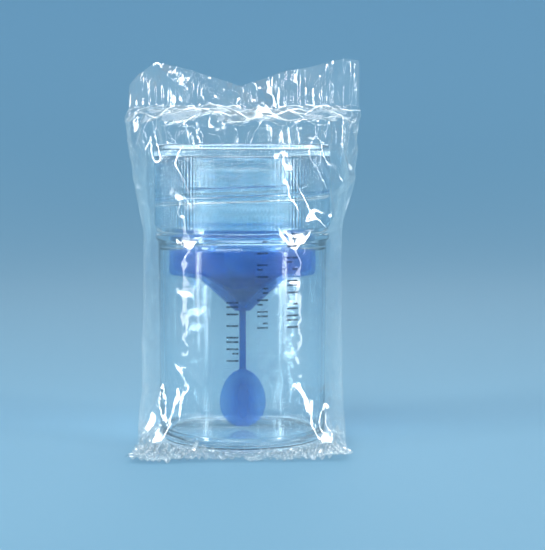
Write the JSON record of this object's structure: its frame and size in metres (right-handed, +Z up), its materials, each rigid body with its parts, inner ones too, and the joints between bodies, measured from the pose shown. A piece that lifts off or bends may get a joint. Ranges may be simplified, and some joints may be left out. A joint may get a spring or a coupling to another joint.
{
  "type": "specimen container",
  "caption": "Small clear screw-cap specimen container with a blue spoon hanging under its cap, sealed in a clear crimped film pouch.",
  "frame": {"origin": "on the container's axis, at the underside of the pouch's base, where it stands", "axes": "+Z up along the container's axis, -Y to the front where the pouch's bottom crimp lies, +X to the right seen from the front"},
  "size_m": [0.052, 0.0511, 0.0856],
  "materials": {
    "clear_body": "clear moulded polystyrene, glossy",
    "clear_cap": "clear moulded polystyrene, ribbed skirt",
    "blue_spoon": "translucent blue moulded plastic",
    "film": "clear glossy packaging film, crinkled",
    "crimped_film": "two plies of clear film welded in fine ribs",
    "film_ink": "dark printing ink on the film"
  },
  "bodies": {
    "pouch": {"film_tube": "film", "film_base": "film", "top_crimp": "crimped_film", "bottom_crimp": "crimped_film", "back_seam": "crimped_film"},
    "container": {"container": "clear_body"},
    "spoon": {"spoon": "blue_spoon"},
    "cap": {"screw_cap": "clear_cap"}
  },
  "joints": [
    {"name": "container_turn", "type": "hinge", "parent": "pouch", "child": "container", "pos_m": [0, 0, 0.03], "axis": [0, 0, 1], "continuous": true},
    {"name": "spoon_rise", "type": "slide", "parent": "container", "child": "spoon", "axis": [0, 0, 1], "range_m": [0, 0.004]},
    {"name": "cap_turn", "type": "hinge", "parent": "spoon", "child": "cap", "pos_m": [0, 0, 0.055], "axis": [0, 0, 1], "range_deg": [0, 360]}
  ],
  "couplings": [
    {"joint": "spoon_rise", "follows": "cap_turn", "m_per_rad": 0.00063662}
  ]
}
